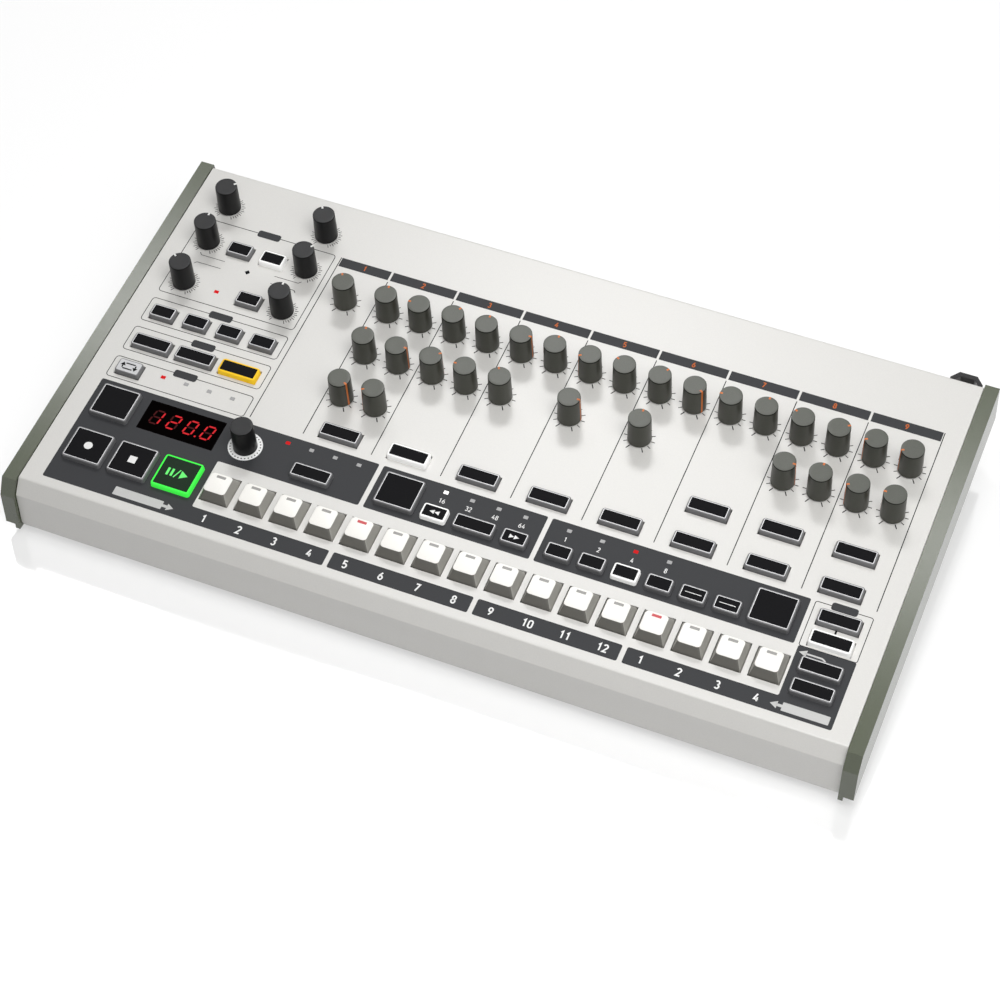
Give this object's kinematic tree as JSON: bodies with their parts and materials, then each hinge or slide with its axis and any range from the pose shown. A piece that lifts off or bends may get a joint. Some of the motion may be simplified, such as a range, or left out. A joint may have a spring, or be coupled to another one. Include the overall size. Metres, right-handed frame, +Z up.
{
  "type": "drum machine",
  "caption": "Desktop drum machine with a sloping panel of turning knobs, push buttons and step keys, a lit display, and sockets on the rear face.",
  "frame": {"origin": "on the floor, under the middle of the machine's outer box", "axes": "+X to the player's right, +Y to the rear, +Z up"},
  "size_m": [0.4978, 0.2664, 0.0824],
  "materials": {
    "cover_paint": "satin",
    "rear_paint": "satin",
    "tray_steel": "satin",
    "cheek_plastic": "satin",
    "feet_rubber": "matt",
    "screw_steel": "satin",
    "board": "satin",
    "switch_plastic": "matt",
    "display_glass": "gloss",
    "light_plastic": "gloss",
    "socket_plastic": "satin",
    "clip_plastic": "satin",
    "olive_knob_plastic": "matt",
    "black_knob_plastic": "matt",
    "key_plastic": "satin",
    "button_plastic": "satin",
    "rocker_plastic": "gloss"
  },
  "bodies": {
    "chassis": {"top_cover": "cover_paint", "rear_panel": "rear_paint", "bottom_tray": "tray_steel", "left_cheek": "cheek_plastic", "right_cheek": "cheek_plastic", "rubber_feet": "feet_rubber", "case_screws": "screw_steel", "control_board": "board", "voice_board": "board", "potentiometers": "switch_plastic", "push_switches": "switch_plastic", "display_module": "display_glass", "indicator_lights": "light_plastic", "rear_sockets": "socket_plastic", "cable_clip": "clip_plastic"},
    "master_volume_knob": {"master_volume_knob": "black_knob_plastic"},
    "headphone_volume_knob": {"headphone_volume_knob": "black_knob_plastic"},
    "filter_cutoff_knob": {"filter_cutoff_knob": "black_knob_plastic"},
    "filter_resonance_knob": {"filter_resonance_knob": "black_knob_plastic"},
    "shaper_attack_knob": {"shaper_attack_knob": "black_knob_plastic"},
    "shaper_sustain_knob": {"shaper_sustain_knob": "black_knob_plastic"},
    "data_encoder_knob": {"data_encoder_knob": "black_knob_plastic"},
    "accent_level_knob": {"accent_level_knob": "olive_knob_plastic"},
    "bass_drum_tune_knob": {"bass_drum_tune_knob": "olive_knob_plastic"},
    "bass_drum_level_knob": {"bass_drum_level_knob": "olive_knob_plastic"},
    "bass_drum_attack_knob": {"bass_drum_attack_knob": "olive_knob_plastic"},
    "bass_drum_decay_knob": {"bass_drum_decay_knob": "olive_knob_plastic"},
    "bass_drum_sweep_knob": {"bass_drum_sweep_knob": "olive_knob_plastic"},
    "bass_drum_pitch_knob": {"bass_drum_pitch_knob": "olive_knob_plastic"},
    "snare_drum_tune_knob": {"snare_drum_tune_knob": "olive_knob_plastic"},
    "snare_drum_level_knob": {"snare_drum_level_knob": "olive_knob_plastic"},
    "snare_drum_tone_knob": {"snare_drum_tone_knob": "olive_knob_plastic"},
    "snare_drum_snap_knob": {"snare_drum_snap_knob": "olive_knob_plastic"},
    "low_tom_tune_knob": {"low_tom_tune_knob": "olive_knob_plastic"},
    "low_tom_level_knob": {"low_tom_level_knob": "olive_knob_plastic"},
    "low_tom_decay_knob": {"low_tom_decay_knob": "olive_knob_plastic"},
    "mid_tom_tune_knob": {"mid_tom_tune_knob": "olive_knob_plastic"},
    "mid_tom_level_knob": {"mid_tom_level_knob": "olive_knob_plastic"},
    "mid_tom_decay_knob": {"mid_tom_decay_knob": "olive_knob_plastic"},
    "high_tom_tune_knob": {"high_tom_tune_knob": "olive_knob_plastic"},
    "high_tom_level_knob": {"high_tom_level_knob": "olive_knob_plastic"},
    "high_tom_decay_knob": {"high_tom_decay_knob": "olive_knob_plastic"},
    "rim_level_knob": {"rim_level_knob": "olive_knob_plastic"},
    "clap_level_knob": {"clap_level_knob": "olive_knob_plastic"},
    "closed_hat_level_knob": {"closed_hat_level_knob": "olive_knob_plastic"},
    "open_hat_level_knob": {"open_hat_level_knob": "olive_knob_plastic"},
    "closed_hat_decay_knob": {"closed_hat_decay_knob": "olive_knob_plastic"},
    "open_hat_decay_knob": {"open_hat_decay_knob": "olive_knob_plastic"},
    "crash_level_knob": {"crash_level_knob": "olive_knob_plastic"},
    "ride_level_knob": {"ride_level_knob": "olive_knob_plastic"},
    "crash_tune_knob": {"crash_tune_knob": "olive_knob_plastic"},
    "ride_tune_knob": {"ride_tune_knob": "olive_knob_plastic"},
    "step_keys_1_to_4": {"step_keys_1_to_4": "key_plastic"},
    "step_keys_5_to_8": {"step_keys_5_to_8": "key_plastic"},
    "step_keys_9_to_12": {"step_keys_9_to_12": "key_plastic"},
    "step_keys_13_to_16": {"step_keys_13_to_16": "key_plastic"},
    "function_buttons": {"function_buttons": "button_plastic"},
    "transport_buttons": {"transport_buttons": "button_plastic"},
    "voice_buttons": {"voice_buttons": "button_plastic"},
    "power_rocker": {"power_rocker": "rocker_plastic"}
  },
  "joints": [
    {"name": "master_volume_turn", "type": "hinge", "parent": "chassis", "child": "master_volume_knob", "pos_m": [-0.2165, 0.09544, 0.06224], "axis": [0, -0.0958, 0.9954], "range_deg": [-101, 199]},
    {"name": "headphone_volume_turn", "type": "hinge", "parent": "chassis", "child": "headphone_volume_knob", "pos_m": [-0.1529, 0.09544, 0.06224], "axis": [0, -0.0958, 0.9954], "range_deg": [-182, 118]},
    {"name": "filter_cutoff_turn", "type": "hinge", "parent": "chassis", "child": "filter_cutoff_knob", "pos_m": [-0.2165, 0.06674, 0.05948], "axis": [0, -0.0958, 0.9954], "range_deg": [-150, 150]},
    {"name": "filter_resonance_turn", "type": "hinge", "parent": "chassis", "child": "filter_resonance_knob", "pos_m": [-0.1529, 0.06674, 0.05948], "axis": [0, -0.0958, 0.9954], "range_deg": [-107, 193]},
    {"name": "shaper_attack_turn", "type": "hinge", "parent": "chassis", "child": "shaper_attack_knob", "pos_m": [-0.2165, 0.03377, 0.0563], "axis": [0, -0.0958, 0.9954], "range_deg": [-205, 95]},
    {"name": "shaper_sustain_turn", "type": "hinge", "parent": "chassis", "child": "shaper_sustain_knob", "pos_m": [-0.1529, 0.03377, 0.0563], "axis": [0, -0.0958, 0.9954], "range_deg": [-150, 150]},
    {"name": "data_encoder_turn", "type": "hinge", "parent": "chassis", "child": "data_encoder_knob", "pos_m": [-0.131, -0.06163, 0.04711], "axis": [0, -0.0958, 0.9954], "continuous": true},
    {"name": "accent_level_turn", "type": "hinge", "parent": "chassis", "child": "accent_level_knob", "pos_m": [-0.1212, 0.0527, 0.05812], "axis": [0, -0.0958, 0.9954], "range_deg": [-177, 123]},
    {"name": "bass_drum_tune_turn", "type": "hinge", "parent": "chassis", "child": "bass_drum_tune_knob", "pos_m": [-0.09435, 0.0527, 0.05812], "axis": [0, -0.0958, 0.9954], "range_deg": [-154, 146]},
    {"name": "bass_drum_level_turn", "type": "hinge", "parent": "chassis", "child": "bass_drum_level_knob", "pos_m": [-0.07375, 0.0527, 0.05812], "axis": [0, -0.0958, 0.9954], "range_deg": [-240, 60]},
    {"name": "bass_drum_attack_turn", "type": "hinge", "parent": "chassis", "child": "bass_drum_attack_knob", "pos_m": [-0.09435, 0.02053, 0.05503], "axis": [0, -0.0958, 0.9954], "range_deg": [-154, 146]},
    {"name": "bass_drum_decay_turn", "type": "hinge", "parent": "chassis", "child": "bass_drum_decay_knob", "pos_m": [-0.07375, 0.02053, 0.05503], "axis": [0, -0.0958, 0.9954], "range_deg": [-60, 240]},
    {"name": "bass_drum_sweep_turn", "type": "hinge", "parent": "chassis", "child": "bass_drum_sweep_knob", "pos_m": [-0.09435, -0.01181, 0.05191], "axis": [0, -0.0958, 0.9954], "range_deg": [-31, 269]},
    {"name": "bass_drum_pitch_turn", "type": "hinge", "parent": "chassis", "child": "bass_drum_pitch_knob", "pos_m": [-0.07375, -0.01181, 0.05191], "axis": [0, -0.0958, 0.9954], "range_deg": [-270, 30]},
    {"name": "snare_drum_tune_turn", "type": "hinge", "parent": "chassis", "child": "snare_drum_tune_knob", "pos_m": [-0.05265, 0.0527, 0.05812], "axis": [0, -0.0958, 0.9954], "range_deg": [-123, 177]},
    {"name": "snare_drum_level_turn", "type": "hinge", "parent": "chassis", "child": "snare_drum_level_knob", "pos_m": [-0.03205, 0.0527, 0.05812], "axis": [0, -0.0958, 0.9954], "range_deg": [-150, 150]},
    {"name": "snare_drum_tone_turn", "type": "hinge", "parent": "chassis", "child": "snare_drum_tone_knob", "pos_m": [-0.05265, 0.02053, 0.05503], "axis": [0, -0.0958, 0.9954], "range_deg": [-95, 205]},
    {"name": "snare_drum_snap_turn", "type": "hinge", "parent": "chassis", "child": "snare_drum_snap_knob", "pos_m": [-0.03205, 0.02053, 0.05503], "axis": [0, -0.0958, 0.9954], "range_deg": [-240, 60]},
    {"name": "low_tom_tune_turn", "type": "hinge", "parent": "chassis", "child": "low_tom_tune_knob", "pos_m": [-0.01095, 0.0527, 0.05812], "axis": [0, -0.0958, 0.9954], "range_deg": [-60, 240]},
    {"name": "low_tom_level_turn", "type": "hinge", "parent": "chassis", "child": "low_tom_level_knob", "pos_m": [0.00965, 0.0527, 0.05812], "axis": [0, -0.0958, 0.9954], "range_deg": [-147, 153]},
    {"name": "low_tom_decay_turn", "type": "hinge", "parent": "chassis", "child": "low_tom_decay_knob", "pos_m": [-0.01095, 0.02053, 0.05503], "axis": [0, -0.0958, 0.9954], "range_deg": [-174, 126]},
    {"name": "mid_tom_tune_turn", "type": "hinge", "parent": "chassis", "child": "mid_tom_tune_knob", "pos_m": [0.03075, 0.0527, 0.05812], "axis": [0, -0.0958, 0.9954], "range_deg": [-269, 31]},
    {"name": "mid_tom_level_turn", "type": "hinge", "parent": "chassis", "child": "mid_tom_level_knob", "pos_m": [0.05135, 0.0527, 0.05812], "axis": [0, -0.0958, 0.9954], "range_deg": [-211, 89]},
    {"name": "mid_tom_decay_turn", "type": "hinge", "parent": "chassis", "child": "mid_tom_decay_knob", "pos_m": [0.03075, 0.02053, 0.05503], "axis": [0, -0.0958, 0.9954], "range_deg": [-60, 240]},
    {"name": "high_tom_tune_turn", "type": "hinge", "parent": "chassis", "child": "high_tom_tune_knob", "pos_m": [0.07245, 0.0527, 0.05812], "axis": [0, -0.0958, 0.9954], "range_deg": [-118, 182]},
    {"name": "high_tom_level_turn", "type": "hinge", "parent": "chassis", "child": "high_tom_level_knob", "pos_m": [0.09305, 0.0527, 0.05812], "axis": [0, -0.0958, 0.9954], "range_deg": [-27, 273]},
    {"name": "high_tom_decay_turn", "type": "hinge", "parent": "chassis", "child": "high_tom_decay_knob", "pos_m": [0.07245, 0.02053, 0.05503], "axis": [0, -0.0958, 0.9954], "range_deg": [-150, 150]},
    {"name": "rim_level_turn", "type": "hinge", "parent": "chassis", "child": "rim_level_knob", "pos_m": [0.11415, 0.0527, 0.05812], "axis": [0, -0.0958, 0.9954], "range_deg": [-243, 57]},
    {"name": "clap_level_turn", "type": "hinge", "parent": "chassis", "child": "clap_level_knob", "pos_m": [0.13475, 0.0527, 0.05812], "axis": [0, -0.0958, 0.9954], "range_deg": [-150, 150]},
    {"name": "closed_hat_level_turn", "type": "hinge", "parent": "chassis", "child": "closed_hat_level_knob", "pos_m": [0.15585, 0.0527, 0.05812], "axis": [0, -0.0958, 0.9954], "range_deg": [-211, 89]},
    {"name": "open_hat_level_turn", "type": "hinge", "parent": "chassis", "child": "open_hat_level_knob", "pos_m": [0.17645, 0.0527, 0.05812], "axis": [0, -0.0958, 0.9954], "range_deg": [-91, 209]},
    {"name": "closed_hat_decay_turn", "type": "hinge", "parent": "chassis", "child": "closed_hat_decay_knob", "pos_m": [0.15585, 0.02053, 0.05503], "axis": [0, -0.0958, 0.9954], "range_deg": [-60, 240]},
    {"name": "open_hat_decay_turn", "type": "hinge", "parent": "chassis", "child": "open_hat_decay_knob", "pos_m": [0.17645, 0.02053, 0.05503], "axis": [0, -0.0958, 0.9954], "range_deg": [-150, 150]},
    {"name": "crash_level_turn", "type": "hinge", "parent": "chassis", "child": "crash_level_knob", "pos_m": [0.19755, 0.0527, 0.05812], "axis": [0, -0.0958, 0.9954], "range_deg": [-267, 33]},
    {"name": "ride_level_turn", "type": "hinge", "parent": "chassis", "child": "ride_level_knob", "pos_m": [0.21815, 0.0527, 0.05812], "axis": [0, -0.0958, 0.9954], "range_deg": [-268, 32]},
    {"name": "crash_tune_turn", "type": "hinge", "parent": "chassis", "child": "crash_tune_knob", "pos_m": [0.19755, 0.02053, 0.05503], "axis": [0, -0.0958, 0.9954], "range_deg": [-267, 33]},
    {"name": "ride_tune_turn", "type": "hinge", "parent": "chassis", "child": "ride_tune_knob", "pos_m": [0.21815, 0.02053, 0.05503], "axis": [0, -0.0958, 0.9954], "range_deg": [-240, 60]},
    {"name": "step_keys_1_to_4_press", "type": "slide", "parent": "chassis", "child": "step_keys_1_to_4", "axis": [0, 0.0958, -0.9954], "range_m": [0, 0.003], "stiffness_N_per_m": 400, "springref_m": -0.002},
    {"name": "step_keys_5_to_8_press", "type": "slide", "parent": "chassis", "child": "step_keys_5_to_8", "axis": [0, 0.0958, -0.9954], "range_m": [0, 0.003], "stiffness_N_per_m": 400, "springref_m": -0.002},
    {"name": "step_keys_9_to_12_press", "type": "slide", "parent": "chassis", "child": "step_keys_9_to_12", "axis": [0, 0.0958, -0.9954], "range_m": [0, 0.003], "stiffness_N_per_m": 400, "springref_m": -0.002},
    {"name": "step_keys_13_to_16_press", "type": "slide", "parent": "chassis", "child": "step_keys_13_to_16", "axis": [0, 0.0958, -0.9954], "range_m": [0, 0.003], "stiffness_N_per_m": 400, "springref_m": -0.002},
    {"name": "function_buttons_press", "type": "slide", "parent": "chassis", "child": "function_buttons", "axis": [0, 0.0958, -0.9954], "range_m": [0, 0.001], "stiffness_N_per_m": 900, "springref_m": -0.001},
    {"name": "transport_buttons_press", "type": "slide", "parent": "chassis", "child": "transport_buttons", "axis": [0, 0.0958, -0.9954], "range_m": [0, 0.001], "stiffness_N_per_m": 900, "springref_m": -0.001},
    {"name": "voice_buttons_press", "type": "slide", "parent": "chassis", "child": "voice_buttons", "axis": [0, 0.0958, -0.9954], "range_m": [0, 0.001], "stiffness_N_per_m": 900, "springref_m": -0.001},
    {"name": "power_rocker_tilt", "type": "hinge", "parent": "chassis", "child": "power_rocker", "pos_m": [0.18199, 0.12139, 0.04731], "axis": [0, -0.2521, 0.9677], "range_deg": [0, 14]}
  ]
}
